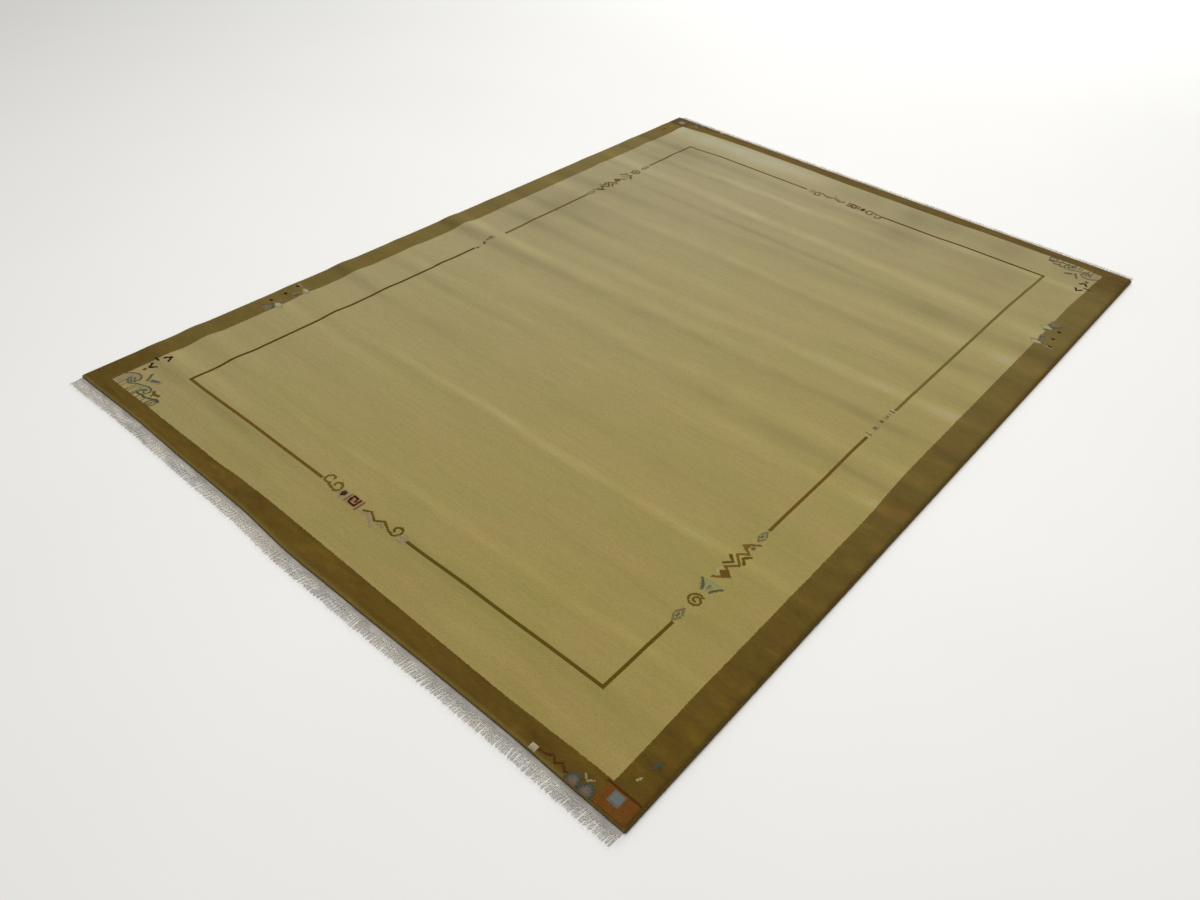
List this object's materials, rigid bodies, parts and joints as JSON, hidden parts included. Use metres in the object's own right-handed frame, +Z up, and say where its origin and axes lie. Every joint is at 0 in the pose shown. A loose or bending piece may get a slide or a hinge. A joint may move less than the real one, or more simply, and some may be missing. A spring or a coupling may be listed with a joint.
{
  "type": "nepalese rug",
  "caption": "Flat hand-knotted wool pile rug with a plain field, a darker border, a thin frame line with small ornaments and a short warp fringe at each short end.",
  "frame": {"origin": "middle of the rug on the floor it lies on", "axes": "+X across the rug, +Y along it from the near fringe to the far one, +Z up out of the pile"},
  "size_m": [1.7, 2.3814, 0.0183],
  "materials": {
    "wool_pile": "dense cut wool pile, matt with a soft sheen, straw field inside an olive-brown border",
    "warp_yarn": "undyed off-white plied yarn, matt"
  },
  "bodies": {
    "root": {"rug_body": "wool_pile", "fringe_near": "warp_yarn", "fringe_far": "warp_yarn"}
  },
  "joints": []
}
